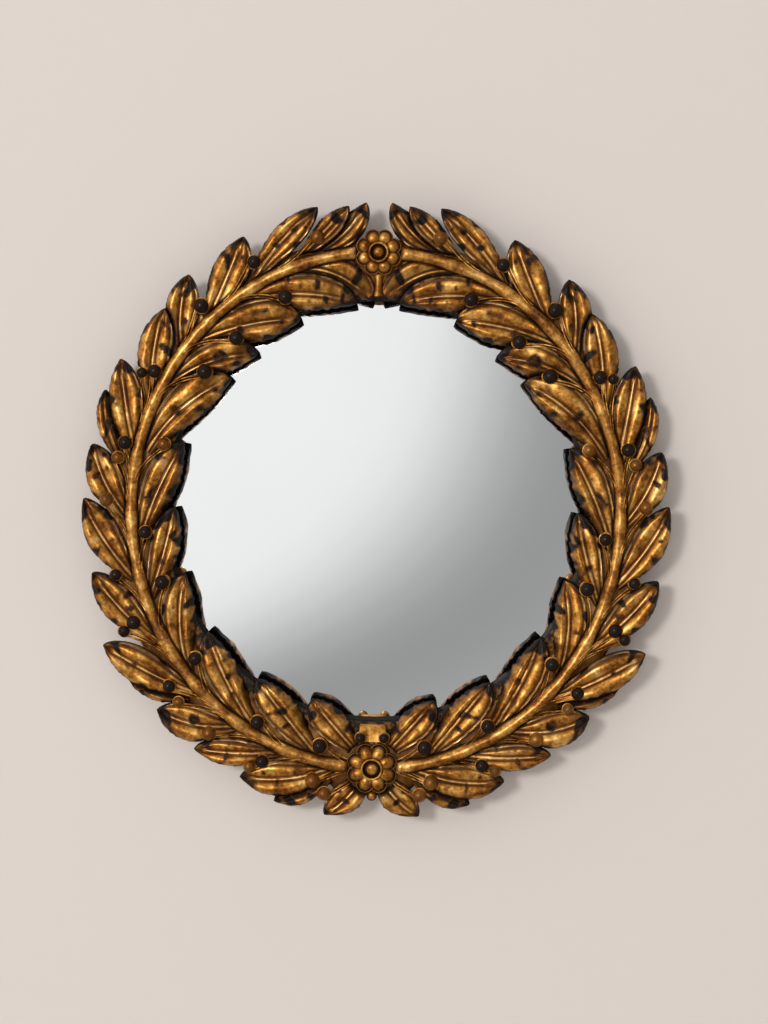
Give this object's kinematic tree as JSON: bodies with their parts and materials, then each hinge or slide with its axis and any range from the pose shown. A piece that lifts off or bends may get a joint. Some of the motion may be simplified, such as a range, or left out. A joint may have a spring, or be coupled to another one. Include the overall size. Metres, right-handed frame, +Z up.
{
  "type": "convex wall mirror in a laurel wreath frame",
  "caption": "Round convex wall mirror in an antique-gold laurel wreath frame with berries and rosettes, hung by a swinging ring at the back.",
  "frame": {"origin": "on the wall plane, level with the underside of the hanging ring's bow, where the wall hook bears, at the middle of the width", "axes": "+Z up, mirror faces -Y, wall behind at +Y, +X to the viewer's right"},
  "size_m": [0.38, 0.0336, 0.3959],
  "materials": {
    "antique_gilt": "antique gold over cast resin, rubbed, with dark brown in the hollows and on the leaf tips",
    "painted_wood": "fibreboard ring painted black brown, with aged gold on the front",
    "mirror_glass": "silvered convex glass",
    "foam": "grey closed-cell foam",
    "hardboard": "bare brown hardboard",
    "steel": "zinc-plated",
    "brass": "brass-plated"
  },
  "bodies": {
    "frame": {"carrier_ring": "painted_wood", "convex_glass": "mirror_glass", "foam_ring": "foam", "backing_board": "hardboard", "rosette_top": "antique_gilt", "rosette_bottom": "antique_gilt", "sprig_left_01": "antique_gilt", "sprig_left_02": "antique_gilt", "sprig_left_03": "antique_gilt", "sprig_left_04": "antique_gilt", "sprig_left_05": "antique_gilt", "sprig_left_06": "antique_gilt", "sprig_left_07": "antique_gilt", "sprig_left_08": "antique_gilt", "sprig_left_09": "antique_gilt", "sprig_left_10": "antique_gilt", "sprig_left_11": "antique_gilt", "sprig_left_12": "antique_gilt", "sprig_left_13": "antique_gilt", "sprig_left_14": "antique_gilt", "sprig_left_15": "antique_gilt", "sprig_right_01": "antique_gilt", "sprig_right_02": "antique_gilt", "sprig_right_03": "antique_gilt", "sprig_right_04": "antique_gilt", "sprig_right_05": "antique_gilt", "sprig_right_06": "antique_gilt", "sprig_right_07": "antique_gilt", "sprig_right_08": "antique_gilt", "sprig_right_09": "antique_gilt", "sprig_right_10": "antique_gilt", "sprig_right_11": "antique_gilt", "sprig_right_12": "antique_gilt", "sprig_right_13": "antique_gilt", "sprig_right_14": "antique_gilt", "sprig_right_15": "antique_gilt", "button_screw_1": "steel", "button_screw_2": "steel", "button_screw_3": "steel", "button_screw_4": "steel", "hanger_strap": "steel", "hanger_screw": "steel"},
    "hanger_ring": {"hanger_ring": "steel"},
    "turn_button_1": {"turn_button_1": "brass"},
    "turn_button_2": {"turn_button_2": "brass"},
    "turn_button_3": {"turn_button_3": "brass"},
    "turn_button_4": {"turn_button_4": "brass"}
  },
  "joints": [
    {"name": "hanger_swing", "type": "hinge", "parent": "frame", "child": "hanger_ring", "pos_m": [0, -0.00265, -0.01], "axis": [-1, 0, 0], "range_deg": [0, 165]},
    {"name": "turn_button_1_turn", "type": "hinge", "parent": "frame", "child": "turn_button_1", "pos_m": [0.10783, -0.0021, -0.06217], "axis": [0, 1, 0], "range_deg": [-100, 100]},
    {"name": "turn_button_2_turn", "type": "hinge", "parent": "frame", "child": "turn_button_2", "pos_m": [-0.10783, -0.0021, -0.06217], "axis": [0, 1, 0], "range_deg": [-100, 100]},
    {"name": "turn_button_3_turn", "type": "hinge", "parent": "frame", "child": "turn_button_3", "pos_m": [-0.10783, -0.0021, -0.27783], "axis": [0, 1, 0], "range_deg": [-100, 100]},
    {"name": "turn_button_4_turn", "type": "hinge", "parent": "frame", "child": "turn_button_4", "pos_m": [0.10783, -0.0021, -0.27783], "axis": [0, 1, 0], "range_deg": [-100, 100]}
  ]
}
